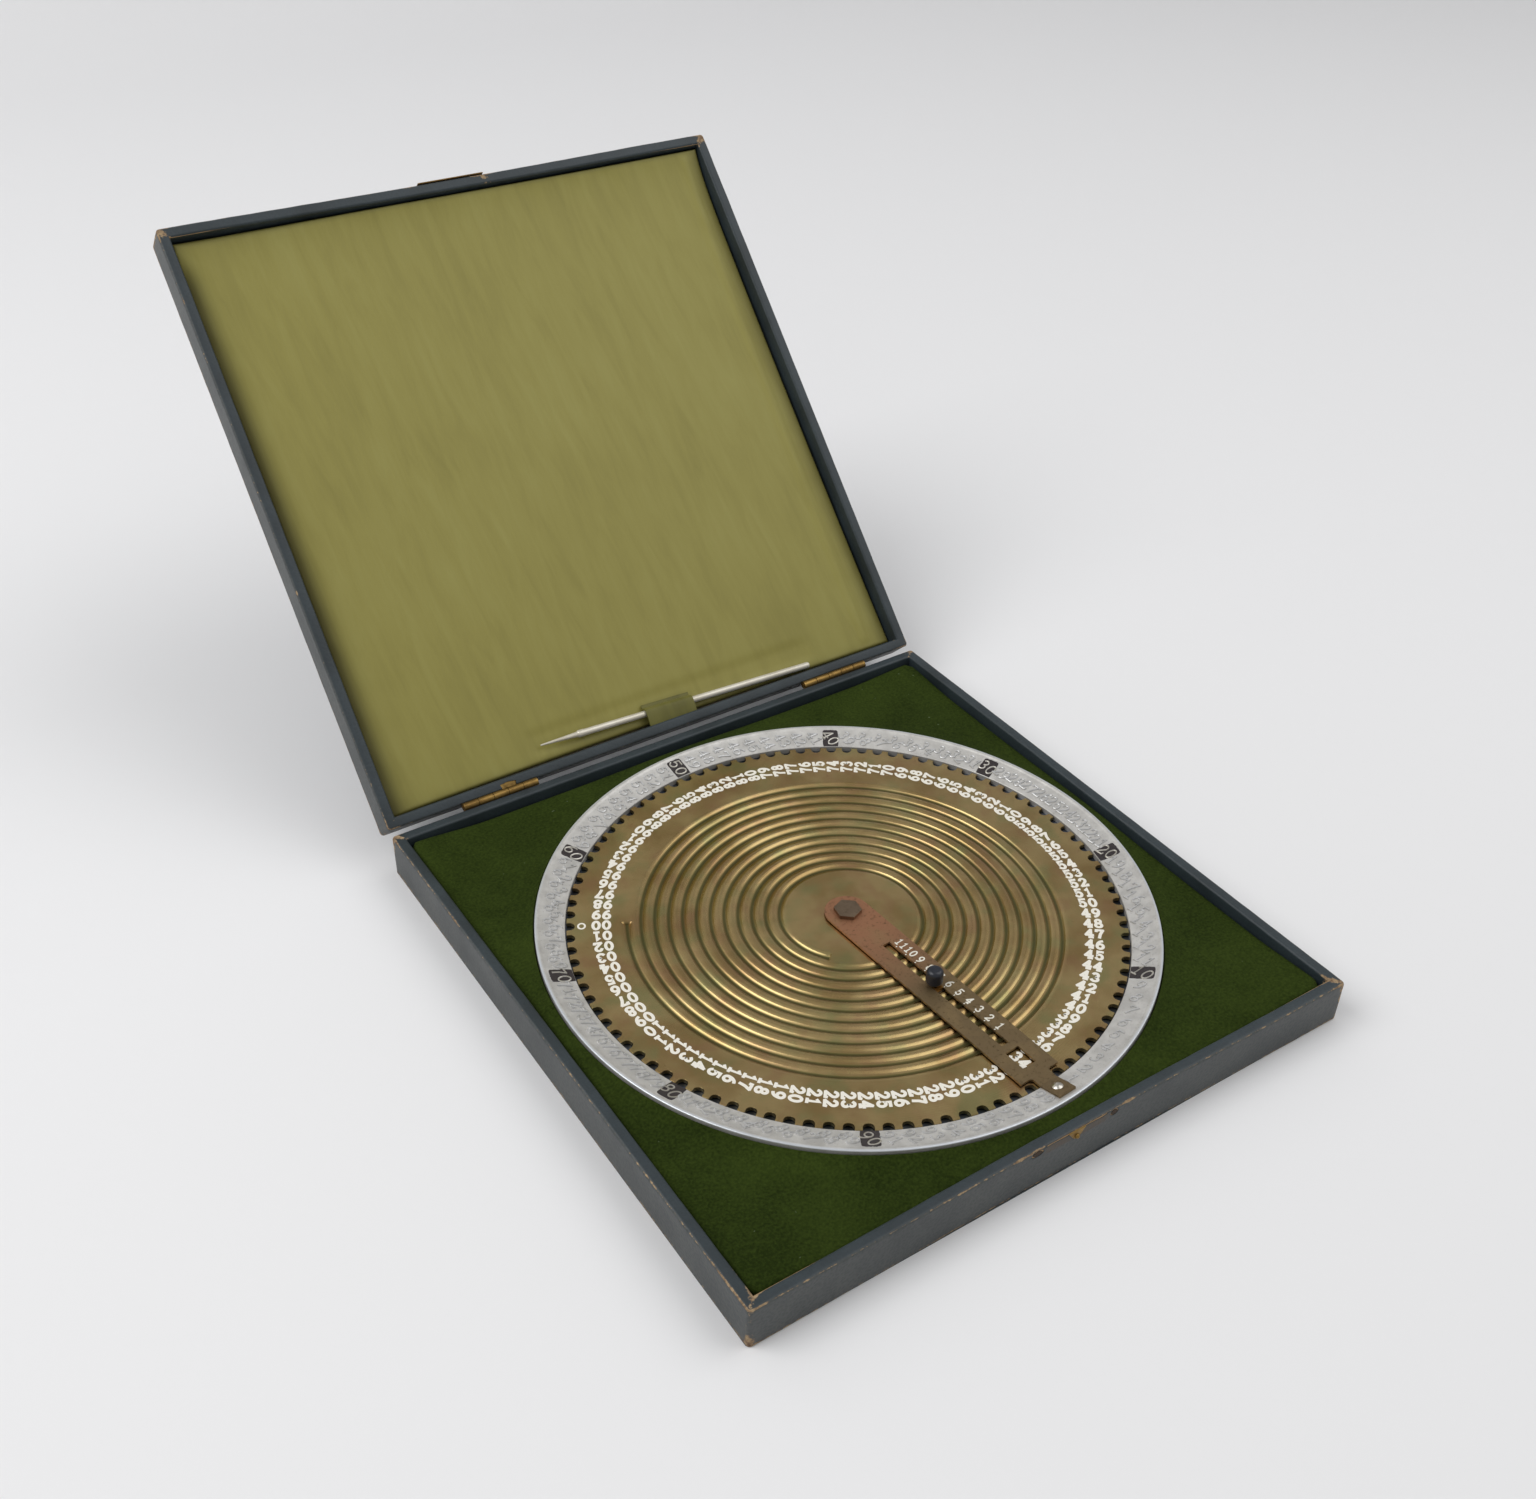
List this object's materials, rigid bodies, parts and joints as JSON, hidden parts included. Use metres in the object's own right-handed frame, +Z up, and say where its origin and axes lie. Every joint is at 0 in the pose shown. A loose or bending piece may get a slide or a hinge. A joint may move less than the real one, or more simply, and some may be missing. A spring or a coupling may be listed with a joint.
{
  "type": "circular adder",
  "caption": "Pocket adding machine: a notched disc turned by a stylus in a numbered ring, with a slider that counts the hundreds, bedded in velvet in a hinged case.",
  "frame": {"origin": "middle of the underside of the base", "axes": "+X along the hinge line to the right as seen from the front, +Y from the front of the case to its hinges, +Z up"},
  "size_m": [0.185, 0.3254, 0.147],
  "materials": {
    "board": "plain",
    "leatherette": "worn, fine grain",
    "velvet": "short pile",
    "silk": "watered silk",
    "card": "plain card",
    "hinge_brass": "tarnished",
    "dark_brass": "dark lacquer, worn",
    "disc_brass": "satin, tarnished",
    "nickel": "nickel plated",
    "steel": "browned",
    "bead_glass": "polished, opaque"
  },
  "bodies": {
    "case": {"base_board": "board", "base_front_wall": "board", "base_back_wall": "board", "base_left_wall": "board", "base_right_wall": "board", "base_covering": "leatherette", "base_underside": "leatherette", "bed_board": "board", "velvet_pad": "velvet", "left_base_leaf": "hinge_brass", "right_base_leaf": "hinge_brass", "left_hinge_pin": "hinge_brass", "right_hinge_pin": "hinge_brass", "base_leaf_nails": "hinge_brass", "catch_tab": "hinge_brass", "catch_pin": "hinge_brass", "backing_plate": "nickel", "dial_ring": "nickel", "centre_post": "steel", "friction_washer": "steel", "centre_screw": "steel", "counter_arm": "dark_brass", "arm_rivet": "steel"},
    "lid": {"lid_board": "board", "lid_front_wall": "board", "lid_back_wall": "board", "lid_left_wall": "board", "lid_right_wall": "board", "lid_covering": "leatherette", "lining_card": "card", "silk_pad": "silk", "left_lid_leaf": "hinge_brass", "right_lid_leaf": "hinge_brass", "lid_leaf_nails": "hinge_brass", "keeper_strip": "dark_brass", "stylus_loop": "silk"},
    "disc": {"adding_disc": "disc_brass", "disc_bush": "disc_brass"},
    "slider": {"hundreds_slider": "disc_brass", "follower_pin": "steel", "slider_bead": "bead_glass"},
    "stylus": {"stylus": "nickel"}
  },
  "joints": [
    {"name": "lid_hinge", "type": "hinge", "parent": "case", "child": "lid", "pos_m": [0, 0.0938, 0.01305], "axis": [1, 0, 0], "range_deg": [0, 134.2]},
    {"name": "disc_turn", "type": "hinge", "parent": "case", "child": "disc", "pos_m": [0, 0, 0.009], "axis": [0, 0, 1], "range_deg": [-1742.4, 2282.4]},
    {"name": "slider_travel", "type": "slide", "parent": "case", "child": "slider", "axis": [0.0732, -0.9973, 0], "range_m": [-0.01824, 0.02388]},
    {"name": "stylus_slide", "type": "slide", "parent": "lid", "child": "stylus", "axis": [0.9992, -0.0287, -0.0295], "range_m": [-0.045, 0.015]}
  ],
  "couplings": [
    {"joint": "slider_travel", "follows": "disc_turn", "m_per_rad": 0.00059842}
  ]
}
